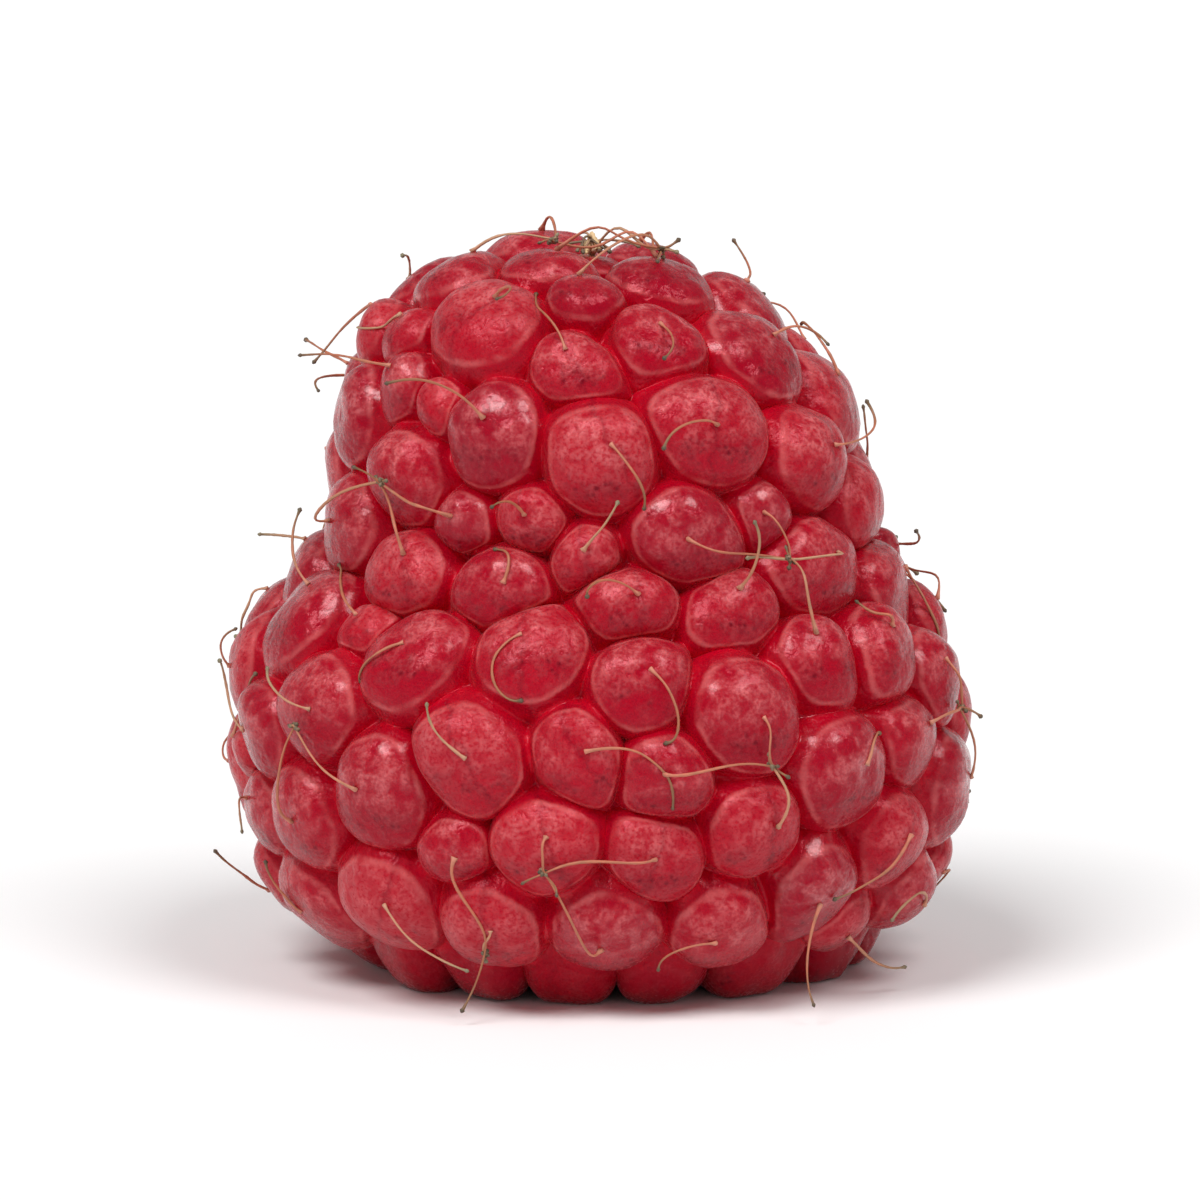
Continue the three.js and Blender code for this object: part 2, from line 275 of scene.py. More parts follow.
class Profile:
    """The curve that the drupelets' middles lie on, from the lip of the mouth to the tip."""

    def __init__(self):
        belly = BELLY_RADIUS - DOME
        waist = WAIST_RADIUS - DOME
        crown = CROWN_RADIUS - DOME
        top = HEIGHT - DOME
        knots = [
            (MOUTH_RADIUS, LIP_HEIGHT),
            (RING_RADIUS, RING_DOME - FLAT_DEPTH),
            (belly - 1.1, RING_DOME + 0.75),
            (belly - 0.25, BELLY_HEIGHT - 2.8),
            (belly, BELLY_HEIGHT),
            (belly - 0.35, SHOULDER_HEIGHT),
            (waist + 0.9, WAIST_HEIGHT - 2),
            (waist, WAIST_HEIGHT),
            (crown, CROWN_HEIGHT),
            (crown * 0.8, top - 1.6),
            (crown * 0.47, top - 0.35),
            (0, top),
        ]
        self.points = on_spline(knots, np.arange(PROFILE_STEPS + 1) / PROFILE_STEPS)
        self.steps = np.diff(self.points, axis=0)
        self.lengths = np.linalg.norm(self.steps, axis=1)
        self.radii = (self.points[1:, 0] + self.points[:-1, 0]) / 2
        self.reached = np.append(0, np.cumsum(self.lengths / np.maximum(NEAR_AXIS, self.radii)))

    def nearest(self, r, z):
        """The places on the curve nearest to (r, z), counted in its points from the lip."""
        dr = np.asarray(r)[..., None] - self.points[:-1, 0]
        dz = np.asarray(z)[..., None] - self.points[:-1, 1]
        share = (dr * self.steps[:, 0] + dz * self.steps[:, 1]) / self.lengths**2
        held = np.clip(share, 0, 1)
        distance = np.hypot(held * self.steps[:, 0] - dr, held * self.steps[:, 1] - dz)
        best = np.argmin(distance, axis=-1)
        return best + np.take_along_axis(held, best[..., None], -1)[..., 0]

    def split(self, place):
        i = np.minimum(len(self.steps) - 1, np.floor(place).astype(int))
        return i, (place - i)[..., None]

    def at(self, place):
        i, share = self.split(np.asarray(place, float))
        return self.points[i] + share * self.steps[i]

    def normal(self, place):
        i, _ = self.split(np.asarray(place, float))
        return np.stack([self.steps[i, 1], -self.steps[i, 0]], axis=-1) / self.lengths[i, None]

    def reached_at(self, place):
        return np.interp(place, np.arange(len(self.reached)), self.reached)

    def place_of(self, reached):
        return np.interp(reached, self.reached, np.arange(len(self.reached)))

    def on_fruit(self, place, turn, level):
        """A point of the round form from its place, its turn and its level above the middles."""
        place, turn, level = np.broadcast_arrays(place, turn, level)
        at = self.at(place) + level[..., None] * self.normal(place)
        return around(turn, at[..., 0], at[..., 1])


def grown(p):
    """Moves points of the round form to where they are on a fruit that grew out of round."""
    x, y, z = p[..., 0], p[..., 1], p[..., 2]
    turn = np.arctan2(y, x)
    oval = OVAL * np.cos(2 * turn + OVAL_TURN)
    three_sided = THREE_SIDED * np.cos(3 * turn + THREE_SIDED_TURN + THREE_SIDED_TWIST * z)
    crown = smoothstep(z, CROWN_LEAN_START, CROWN_LEAN_END)
    shoulder = bump(z, SHOULDER_HEIGHT, LEAN_WIDTH)
    waist = bump(z, WAIST_HEIGHT, LEAN_WIDTH)
    scale = 1 + oval + three_sided
    lean = SHOULDER_LEAN * shoulder + WAIST_LEAN * waist + CROWN_LEAN * crown
    return np.stack([x * scale + lean, y * scale, z + CROWN_SLOPE * x * crown], axis=-1)


class Layout:
    """Where the drupelets are, by the same draws and the same relaxing as in the solid."""

    def __init__(self, profile):
        draw = make_draw(SEED)
        self.at, self.sizes, self.domes, self.kinds = [], [], [], []
        self.add_ring(draw)
        self.add(around(0, NEAR_AXIS, HEIGHT - DOME), BUD_SIZE, BUD_DOME, "bud")
        self.fixed = len(self.at)
        self.add_free(profile, draw)
        self.at = np.array(self.at)
        self.sizes = np.array(self.sizes)
        self.relax(profile)
        self.places = profile.nearest(np.hypot(self.at[:, 0], self.at[:, 1]), self.at[:, 2])
        self.turns = np.arctan2(self.at[:, 1], self.at[:, 0])
        self.lean(profile, draw)

    def add(self, at, size, dome, kind):
        self.at.append(at)
        self.sizes.append(size)
        self.domes.append(dome)
        self.kinds.append(kind)

    def add_ring(self, draw):
        for i in range(RING_DRUPELETS):
            turn = (i + draw(-RING_TURN_SHIFT, RING_TURN_SHIFT)) * 2 * math.pi / RING_DRUPELETS
            radius = RING_RADIUS + draw(-RING_SHIFT, RING_SHIFT)
            at = around(turn, radius, RING_DOME - FLAT_DEPTH)
            self.add(at, draw(*RING_SIZES), RING_DOME, "ring")

    def add_free(self, profile, draw):
        """Spreads the rest evenly over the surface, along a spiral."""
        start = int(np.argmax(profile.points[:, 0] > RING_RADIUS + SPACING / 2))
        areas = np.append(0, np.cumsum(2 * math.pi * (profile.lengths * profile.radii)[start:]))
        count = round(areas[-1] / (math.sqrt(0.75) * SPACING**2))
        golden_turn = math.pi * (3 - math.sqrt(5))
        for i in range(count):
            reached = int(np.argmax(areas >= (i + 0.5) / count * areas[-1]))
            r, z = profile.points[start + reached]
            at = around(i * golden_turn + draw(-TURN_SHIFT, TURN_SHIFT), r, z)
            size = draw(*(SMALL_SIZES if draw(0, 1) < SMALL_SHARE else FULL_SIZES))
            dome = DOME * min(1, LEAST_DOME + (1 - LEAST_DOME) * size)
            self.add(at, size, dome, "free")

    def relax(self, profile):
        """Neighbours push each other apart, and the free ones slide over the surface."""
        wanted = ELBOW_ROOM * SPACING * (self.sizes[:, None] + self.sizes) / 2
        for _ in range(RELAX_ROUNDS):
            apart = self.at[:, None] - self.at
            distance = np.linalg.norm(apart, axis=-1)
            np.fill_diagonal(distance, np.inf)
            push = PUSH * np.maximum(wanted / distance - 1, 0)
            moved = (self.at + (apart * push[..., None]).sum(axis=1))[self.fixed :]
            place = profile.nearest(np.hypot(moved[:, 0], moved[:, 1]), moved[:, 2])
            turn = np.arctan2(moved[:, 1], moved[:, 0])
            self.at[self.fixed :] = profile.on_fruit(place, turn, 0)

    def lean(self, profile, draw):
        """Draws how much higher or lower each dome stands, and which way it points."""
        askew = []
        for i in range(len(self.at)):
            self.domes[i] += draw(-UNEVEN, UNEVEN)
            askew.append([draw(-ASKEW, ASKEW) for _ in range(3)])
            if i >= self.fixed:
                askew[-1][2] -= DROOP
        normals = profile.normal(self.places)
        self.outs = unit(around(self.turns, normals[:, 0], normals[:, 1]) + np.array(askew))


def hull_triangles(points, start):
    """The triangles of the hull of points round the origin, turning left from outside."""
    a, b, c, d = start
    if np.dot(np.cross(points[b] - points[a], points[c] - points[a]), points[d] - points[a]) > 0:
        b, c = c, b
    triangles = np.array([(a, b, c), (a, d, b), (b, d, c), (c, d, a)])
    for i in range(len(points)):
        if i in start:
            continue
        p, q, r = (points[triangles[:, k]] for k in range(3))
        seen = np.einsum("ij,ij->i", np.cross(q - p, r - p), points[i] - p) > 0
        edges = {(t[k], t[(k + 1) % 3]) for t in triangles[seen] for k in range(3)}
        rim = [(p, q, i) for p, q in edges if (q, p) not in edges]
        triangles = np.concatenate([triangles[~seen], np.array(rim)])
    return triangles


def find_pits(layout, profile):
    """The three drupelets round each pit, with its place and turn. The surface is spread over a
    ball so that angles stay as they are. The last index stands for the mouth."""
    mouth = len(layout.at)
    equator = profile.reached_at(profile.nearest(BELLY_RADIUS, BELLY_HEIGHT))
    latitude = 2 * np.arctan(np.exp(profile.reached_at(layout.places) - equator)) - math.pi / 2
    radius = np.maximum(NEAR_AXIS, profile.at(layout.places)[:, 0])
    lift = np.cos(0.5 * SPACING * layout.sizes * np.cos(latitude) / radius)
    points = around(layout.turns, np.cos(latitude), np.sin(latitude)) / lift[:, None]
    points = np.concatenate([points, [[0, 0, -1]]])
    third = RING_DRUPELETS // 3
    owners = hull_triangles(points, (0, third, 2 * third, RING_DRUPELETS))
    p, q, r = (points[owners[:, k]] for k in range(3))
    normals = unit(np.cross(q - p, r - p))
    reached = equator + np.log(np.tan(np.arcsin(normals[:, 2]) / 2 + math.pi / 4))
    places = np.where((owners == mouth).any(axis=1), 0, profile.place_of(reached))
    return owners, places, np.arctan2(normals[:, 1], normals[:, 0])


# What the material is told of each point: how near it is to a seam, its drupelet's tone, how far
# below the drupelet's middle it is, how far across its fold, how near to its style's root, whether
# it is in the hollow, how pale it is, and whether it is streaked, as the ring round the mouth is.
TAGS = ("seam", "tone", "below", "fold", "root", "hollow", "pale", "streaked")


class Skin:
    """The points, tags and triangles of the fruit's skin, gathered as its parts are made."""

    def __init__(self):
        self.points, self.tags, self.triangles = [], [], []
        self.count = 0

    def add(self, points, **tags):
        points = np.atleast_2d(points)
        columns = [np.broadcast_to(tags.get(name, 0.0), len(points)) for name in TAGS]
        self.points.append(points)
        self.tags.append(np.stack(columns, axis=1))
        self.count += len(points)
        return np.arange(self.count - len(points), self.count)

    def stitch(self, outer, inner):
        """Triangles between two closed rings of points, which may differ in number."""
        n, m = len(outer), len(inner)
        i = j = 0
        while i < n or j < m:
            a, b = outer[i % n], inner[j % m]
            if (i + 1) * m <= (j + 1) * n:
                i += 1
                self.triangles.append((a, outer[i % n], b))
            else:
                j += 1
                self.triangles.append((a, inner[j % m], b))

    def fan(self, ring, last):
        for k, a in enumerate(ring):
            self.triangles.append((a, ring[(k + 1) % len(ring)], last))


def resample(loop, count):
    """A closed loop of points, resampled to count points."""
    s = np.arange(count) * len(loop) / count
    i = np.floor(s).astype(int)
    w = (s - i)[:, None]
    return loop[i % len(loop)] * (1 - w) + loop[(i + 1) % len(loop)] * w


def rounded(loop, waves):
    """The same closed loop without its sharp corners."""
    spectrum = np.fft.fft(loop, axis=0)
    k = np.minimum(np.arange(len(loop)), len(loop) - np.arange(len(loop)))
    return np.fft.ifft(spectrum * np.exp(-((k / waves) ** 2) / 2)[:, None], axis=0).real


def make_seams(skin, profile, layout):
    """Adds the points of every seam, and returns the loop of points round each drupelet, and last
    round the mouth, turning left from outside."""
    owners, places, turns = find_pits(layout, profile)
    pit_points = profile.on_fruit(places, turns, PIT_LEVEL)
    pits = skin.add(pit_points, seam=1, tone=0.5)
    follows = [{} for _ in range(len(layout.at) + 1)]
    for pit, (a, b, c) in enumerate(owners):
        follows[a][b] = (c, pit)
        follows[b][c] = (a, pit)
        follows[c][a] = (b, pit)
    seams = {}

    def seam(i, j, start, end):
        key = (min(i, j), max(i, j))
        if key in seams:
            return seams[key][::-1]
        length = np.linalg.norm(pit_points[start] - pit_points[end])
        count = round(length / FINE_SEAM_STEP)
        share = np.arange(1, count + 1) / (count + 1)
        top = RING_SEAM_LEVEL if max(i, j) < RING_DRUPELETS else SEAM_LEVEL
        rise = (top - PIT_LEVEL) * min(1, length / SEAM_LENGTH)
        bend = (turns[end] - turns[start] + math.pi) % (2 * math.pi) - math.pi
        place = places[start] + share * (places[end] - places[start])
        level = PIT_LEVEL + 4 * rise * share * (1 - share)
        points = profile.on_fruit(place, turns[start] + share * bend, level)
        seams[key] = skin.add(points, seam=1, tone=0.5)
        return seams[key]

    loops = []
    for i, after in enumerate(follows):
        first = here = next(iter(after))
        loop = []
        while True:
            following, pit = after[here]
            loop.append([pits[pit]])
            loop.append(seam(i, following, pit, after[following][1]))
            here = following
            if here == first:
                break
        loops.append(np.concatenate(loop).astype(int))
    return loops


def make_dome(skin, edge, at, out, dome, kind, draw):
    """Covers the loop of a drupelet's seams with its dome, and returns the root of its style."""
    edge_points = np.concatenate(skin.points)[edge]
    middle = edge_points.mean(axis=0) - out * np.dot(edge_points.mean(axis=0) - at, out)
    soft = rounded(edge_points, ROUNDING)
    reach = np.linalg.norm(soft - middle, axis=1).mean()
    tipward = unit(np.array([0, 0, 1]) - out * out[2])
    across = np.cross(out, tipward)
    fold_turn = draw(-FOLD_TURN, FOLD_TURN)
    fold_way = math.cos(fold_turn) * across + math.sin(fold_turn) * tipward
    root = reach * (draw(*ROOT_TIPWARD) * tipward + draw(-ROOT_ASIDE, ROOT_ASIDE) * across)
    tone = draw(0, 1)

    def add(ring, share):
        aside = ring - middle
        level = aside - root - np.outer((aside - root) @ out, out)
        near = np.exp(-((np.linalg.norm(level, axis=1) / ROOT_REACH) ** 2))
        return skin.add(
            ring,
            seam=share ** (RING_SEAM_POWER if kind == "ring" else 1),
            tone=tone,
            below=-(aside @ tipward) / reach,
            fold=(aside - root) @ fold_way,
            root=near,
            pale=near if kind == "bud" else 0,
            streaked=kind == "ring",
        )

    outer = edge
    for share in RING_DOME_SHARES if kind == "ring" else DOME_SHARES:
        turn = share * math.pi / 2
        count = max(FEWEST_IN_RING, round(len(edge) * math.sin(turn) ** THINNING))
        outline = soft + (edge_points - soft) * share**CORNER_POWER
        side = resample(outline, count) - middle
        height = side @ out
        risen = height + (dome - height) * math.cos(turn) ** FULLNESS
        flat = (side - height[:, None] * out) * math.sin(turn) ** FULLNESS
        inner = add(middle + flat + risen[:, None] * out, share)
        skin.stitch(outer, inner)
        outer = inner
    skin.fan(outer, add((middle + out * dome)[None], 0)[0])
    return middle + root + out * dome


def make_hollow(skin, edge, layout, profile):
    """The wall of the hollow, where the inner end of each drupelet stands out a little round the
    pale spot that joined it to the core."""
    knots = (
        (MOUTH_RADIUS, LIP_HEIGHT),
        (MOUTH_RADIUS - 0.35, LIP_HEIGHT + 3),
        (MOUTH_RADIUS - 1.2, HOLLOW_HEIGHT - 5),
        (HOLLOW_TOP_RADIUS, HOLLOW_HEIGHT - 1),
        (0, HOLLOW_HEIGHT),
    )
    lip = np.concatenate(skin.points)[edge]
    ring_place = profile.nearest(RING_RADIUS, RING_DOME)
    free = np.arange(layout.fixed, len(layout.at))
    reached = (layout.places[free] - ring_place) / (PROFILE_STEPS - ring_place)
    spots = on_spline(knots, reached)
    spots = around(layout.turns[free], spots[:, 0], spots[:, 1])
    lip = np.append(lip, lip[:1], axis=0)
    steps = np.arange(len(lip))
    turns = np.unwrap(np.arctan2(lip[:, 1], lip[:, 0]))
    scallop = np.hypot(lip[:, 0], lip[:, 1]) - MOUTH_RADIUS
    outer = edge
    for k in range(1, HOLLOW_RINGS + 1):
        share = 1 - k / (HOLLOW_RINGS + 1)
        r, z = on_spline(knots, 1 - share)
        count = max(FEWEST_IN_HOLLOW_RING, round(len(edge) * min(1, 0.25 + r / MOUTH_RADIUS)))
        s = np.arange(count) * len(edge) / count
        turn = np.interp(s, steps, turns)
        widened = np.interp(s, steps, scallop)
        ring = around(turn, r + widened * share**LIP_POWER, z)
        distance = np.linalg.norm(ring[:, None] - spots, axis=-1).min(axis=1)
        relief = INNER_END_RELIEF * (1 - smoothstep(distance, *INNER_END_REACH)) * (1 - share**4)
        inward = np.array([-1, -1, 0]) * around(turn, 1, 0)
        attached = 1 - smoothstep(distance, *ATTACHMENT_REACH)
        seam = smoothstep(distance, *INNER_SEAM_REACH)
        moved = ring + inward * relief[:, None]
        inner = skin.add(moved, seam=seam, tone=0.5, below=1 - share, hollow=1, pale=attached)
        skin.stitch(outer, inner)
        outer = inner
    skin.fan(outer, skin.add([[0, 0, HOLLOW_HEIGHT]], seam=0.5, tone=0.5, below=1, hollow=1)[0])


def make_fruit():
    """The skin of the whole fruit, in its place, with the roots of its styles."""
    profile = Profile()
    layout = Layout(profile)
    skin = Skin()
    loops = make_seams(skin, profile, layout)
    draw = make_draw(SEED + 1)
    drupelets = zip(loops[:-1], layout.at, layout.outs, layout.domes, layout.kinds)
    roots = [make_dome(skin, *drupelet, draw) for drupelet in drupelets]
    make_hollow(skin, loops[-1], layout, profile)
    points = grown(np.concatenate(skin.points))
    roots = grown(np.array(roots))
    low, high = (np.array(c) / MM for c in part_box("berry"))
    shift = (low + high) / 2 - (points.min(axis=0) + points.max(axis=0)) / 2
    shift[2] = low[2]
    points += shift
    roots += shift
    triangles = np.array(skin.triangles)
    points += waves(points)[:, None] * point_normals(points, triangles)
    points[:, 2] = np.maximum(points[:, 2], low[2])
    return points, np.concatenate(skin.tags), triangles, roots, layout.outs


def point_normals(points, triangles):
    p, q, r = (points[triangles[:, k]] for k in range(3))
    facing = np.cross(q - p, r - p)
    normals = np.zeros_like(points)
    for k in range(3):
        np.add.at(normals, triangles[:, k], facing)
    return unit(normals)


def waves(points):
    """How far each point stands out or in, so that no dome is quite round."""
    wide = np.array([noise.noise(Vector(p / WIDE_WAVE)) for p in points])
    narrow = np.array([noise.noise(Vector(p / NARROW_WAVE)) for p in points])
    return WIDE_SWELL * wide + NARROW_SWELL * narrow


# The styles


def any_way(draw):
    return np.array([draw(-1, 1) for _ in range(3)])


def turned(v, axis, angle):
    """A vector turned about a unit axis."""
    c, s = math.cos(angle), math.sin(angle)
    return v * c + np.cross(axis, v) * s + axis * np.dot(axis, v) * (1 - c)


def kept_above(path, tree):
    """The path, lifted out of the skin and smoothed, with its root left in place."""
    path = path.copy()
    for _ in range(LIFTING_ROUNDS):
        for k in range(1, len(path)):
            near, normal, _, _ = tree.find_nearest(Vector(path[k]))
            height = np.dot(path[k] - near, normal)
            wanted = STYLE_CLEARANCE * min(1, k / 2)
            if height < wanted:
                path[k] += (wanted - height) * np.array(normal)
        path[1:-1] = 0.5 * path[1:-1] + 0.25 * (path[:-2] + path[2:])
    return path


def free_path(root, normal, draw):
    """A style that stands away from its drupelet or lies over it, and curls as it goes."""
    length = draw(*LENGTHS)
    lean = math.radians(FLATTEST - (FLATTEST - MOST_UPRIGHT) * draw(0, 1) ** FLAT_POWER)
    aside = any_way(draw)
    tangent = unit(aside - normal * np.dot(aside, normal))
    way = math.cos(lean) * normal + math.sin(lean) * tangent
    bend_axis = unit(np.cross(normal, way))
    bend = draw(*BENDS) / STYLE_STEPS
    curl = draw(*CURLS) / STYLE_STEPS
    path = [root]
    for k in range(STYLE_STEPS):
        path.append(path[-1] + way * length / STYLE_STEPS)
        hook = 1 + HOOK * (k / STYLE_STEPS) ** 3
        way = turned(turned(way, bend_axis, bend * hook), normal, curl * hook)
        way = unit(way + KINK * any_way(draw))
    return np.array(path)


def tuft_path(root, length, draw):
    """One of the withered styles that lie crosswise in the dimple at the tip."""
    turn = draw(0, 2 * math.pi)
    t = np.linspace(0, 1, STYLE_STEPS + 1)
    aside = length * (t - draw(*TUFT_STARTS))
    arch = draw(*TUFT_RISES) * np.sin(math.pi * t)
    rise = TUFT_CLEARANCE + arch + 0.05 * np.sin(draw(5, 9) * t)
    return root + around(turn + draw(*TUFT_CURVES) * t, aside, rise)


def caught_path(root, normal, meeting, draw):
    """A style that has caught in others at a meeting, and may run on past it."""
    reach = np.linalg.norm(meeting - root)
    onward = (meeting - root) / reach + 0.7 * any_way(draw)
    past = max(0, draw(*RUN_ON))
    knots = [root]
    for share, rises, wander in CAUGHT_WAY:
        risen = normal * reach * draw(*rises)
        knots.append(root + (meeting - root) * share + risen + wander * reach * any_way(draw))
    knots += [
        meeting,
        meeting + onward * (0.12 + 0.6 * past),
        meeting + onward * (0.2 + past) + 0.25 * past * any_way(draw),
    ]
    return on_spline(knots, np.linspace(0, 1, STYLE_STEPS + 1))


def knot_path(meeting, draw):
    """One of the dark bits in a knot."""
    way = unit(any_way(draw)) * draw(*KNOT_LENGTHS)
    t = np.linspace(-1, 1, STYLE_STEPS // 3)[:, None]
    return meeting + way * t + 0.03 * any_way(draw) * (1 - t**2)


def tube_triangles(count):
    """The triangles of a tube of rings, closed by one more point at each end."""
    triangles = []
    for k in range(count - 1):
        for j in range(STYLE_SIDES):
            a, b = k * STYLE_SIDES + j, k * STYLE_SIDES + (j + 1) % STYLE_SIDES
            triangles += [(a, b, b + STYLE_SIDES), (a, b + STYLE_SIDES, a + STYLE_SIDES)]
    first = count * STYLE_SIDES
    top = first - STYLE_SIDES
    for j in range(STYLE_SIDES):
        a, b = j, (j + 1) % STYLE_SIDES
        triangles += [(b, a, first), (top + a, top + b, first + 1)]
    return triangles


def thread(path, width, draw):
    """A closed tube along a path, flat and twisted, with a knob at its end."""
    count = len(path)
    tangents = unit(np.gradient(path, axis=0))
    across = unit(np.cross(tangents[0], [0.3, 0.5, 0.8]))
    s = np.linspace(0, 1, count)
    foot = 1 + FOOT_SWELL * np.exp(-((s / FOOT_LENGTH) ** 2))
    radii = width * STYLE_RADIUS * (1 - TAPER * s) * foot
    radii *= np.array([draw(*WIDTHS) for _ in range(count)])
    radii[-3:] = KNOB_RADIUS * draw(*KNOB_SIZES) * np.array(KNOB_OUTLINE)
    path = path.copy()
    path[-2:] = path[-3] + tangents[-3] * np.array(KNOB_RINGS)[:, None] * KNOB_RADIUS
    twist = draw(-TWIST, TWIST)
    turns = np.arange(STYLE_SIDES) * 2 * math.pi / STYLE_SIDES
    rings = []
    for k in range(count):
        across = unit(across - tangents[k] * np.dot(across, tangents[k]))
        beside = np.cross(tangents[k], across)
        flat = 1 if k > count - 4 else FLATNESS
        c, d = math.cos(twist * s[k]), math.sin(twist * s[k])
        wide = c * across + d * beside
        thin = -d * across + c * beside
        ring = np.outer(np.cos(turns), wide) + flat * np.outer(np.sin(turns), thin)
        rings.append(path[k] + radii[k] * ring)
    tip = path[-1] + KNOB_END * KNOB_RADIUS * tangents[-1]
    points = np.concatenate([*rings, [path[0]], [tip]])
    along = np.concatenate([np.repeat(s, STYLE_SIDES), [0, 1]])
    return points, tube_triangles(count), along


def find_meetings(order, roots, outs, tree, draw):
    """Places a little above the skin where styles have caught in one another."""
    meetings = []
    for i in order[:MEETINGS]:
        over = Vector(roots[i] + outs[i] + np.array([0, 0, draw(*MEETING_DROP)]))
        near, normal, _, _ = tree.find_nearest(over)
        if near.z > LOWEST_MEETING:
            meetings.append(np.array(near + normal * draw(*MEETING_HEIGHT)))
    return meetings


def make_tuft(tip, tree, draw):
    """The threads in the dimple at the tip, each a path and its tone."""
    threads = []
    for _ in range(TUFT):
        path = kept_above(tuft_path(tip, draw(*TUFT_LENGTHS), draw), tree)
        threads.append((path, draw(*WITHERED)))
    for _ in range(CREAM_ENDS):
        path = kept_above(tuft_path(tip, draw(*CREAM_LENGTHS), draw), tree)
        threads.append((path, CREAM))
    return threads


def style_path(root, normal, meeting, room, tree, draw):
    """A path inside the room, or None where no try finds one, and whether it is caught at the
    meeting. A style that can't reach its meeting is free."""
    low, high = room
    for attempt in range(STYLE_TRIES):
        is_caught = meeting is not None and attempt < STYLE_TRIES // 2
        if is_caught:
            path = caught_path(root, normal, meeting + MEETING_SPREAD * any_way(draw), draw)
        else:
            path = free_path(root, normal, draw)
        path = kept_above(path, tree)
        if (path > low).all() and (path < high).all():
            return path, is_caught
    return None, False


def make_threads(order, roots, outs, room, tree, draw):
    """All the threads on the fruit, each a path and its tone."""
    meetings = find_meetings(order, roots, outs, tree, draw)
    caught = [0] * len(meetings)
    threads = make_tuft(roots[RING_DRUPELETS], tree, draw)
    for i in order:
        if draw(0, 1) > STYLE_SHARE:
            continue
        out = Vector(outs[i])
        hit, normal, _, _ = tree.ray_cast(Vector(roots[i]) + out, -out)
        if hit is None or hit.z < LOWEST_ROOT:
            continue
        root, normal = np.array(hit), np.array(normal)
        reaches = [np.linalg.norm(meeting - root) for meeting in meetings]
        near = [k for k, reach in enumerate(reaches) if NEAREST_MEETING < reach < FARTHEST_MEETING]
        first = next((k for k in near if caught[k] < MOST_CAUGHT), None)
        meeting = None if first is None else meetings[first]
        path, is_caught = style_path(root, normal, meeting, room, tree, draw)
        if path is None:
            continue
        threads.append((path, draw(0, 1)))
        if is_caught:
            caught[first] += 1
    for meeting, styles in zip(meetings, caught):
        for _ in range(KNOT_PIECES if styles > 1 else 0):
            threads.append((knot_path(meeting, draw), draw(*KNOT_TONES)))
    return threads


def make_styles(points, triangles, roots, outs):
    """The styles' points, triangles and tags."""
    tree = BVHTree.FromPolygons(points.tolist(), triangles.tolist())
    low = points.min(axis=0) - BOX_MARGIN
    high = points.max(axis=0) + BOX_MARGIN
    low[2] = 1.5 * KNOB_RADIUS
    draw = make_draw(SEED + 2)
    order = sorted(range(len(roots)), key=lambda i: draw(0, 1))
    points, triangles, alongs, tones = [], [], [], []
    count = 0
    for path, tone in make_threads(order, roots, outs, (low, high), tree, draw):
        made, sides, along = thread(path, CREAM_WIDTH if tone == CREAM else 1, draw)
        points.append(made)
        triangles.append(np.array(sides) + count)
        alongs.append(along)
        tones.append(np.full(len(made), tone))
        count += len(made)
    tags = {"along": np.concatenate(alongs), "tone": np.concatenate(tones)}
    return np.concatenate(points), np.concatenate(triangles), tags


def add_mesh(name, points, triangles, material, attributes=()):
    mesh = bpy.data.meshes.new(name)
    mesh.from_pydata(np.asarray(points * MM).tolist(), [], np.asarray(triangles).tolist())
    for title, values in dict(attributes).items():
        attribute = mesh.attributes.new(title, "FLOAT", "POINT")
        attribute.data.foreach_set("value", np.asarray(values, np.float32))
    mesh.polygons.foreach_set("use_smooth", [True] * len(mesh.polygons))
    mesh.materials.append(material)
    mesh.update()
    piece = bpy.data.objects.new(name, mesh)
    bpy.context.scene.collection.objects.link(piece)
    return piece


# Materials


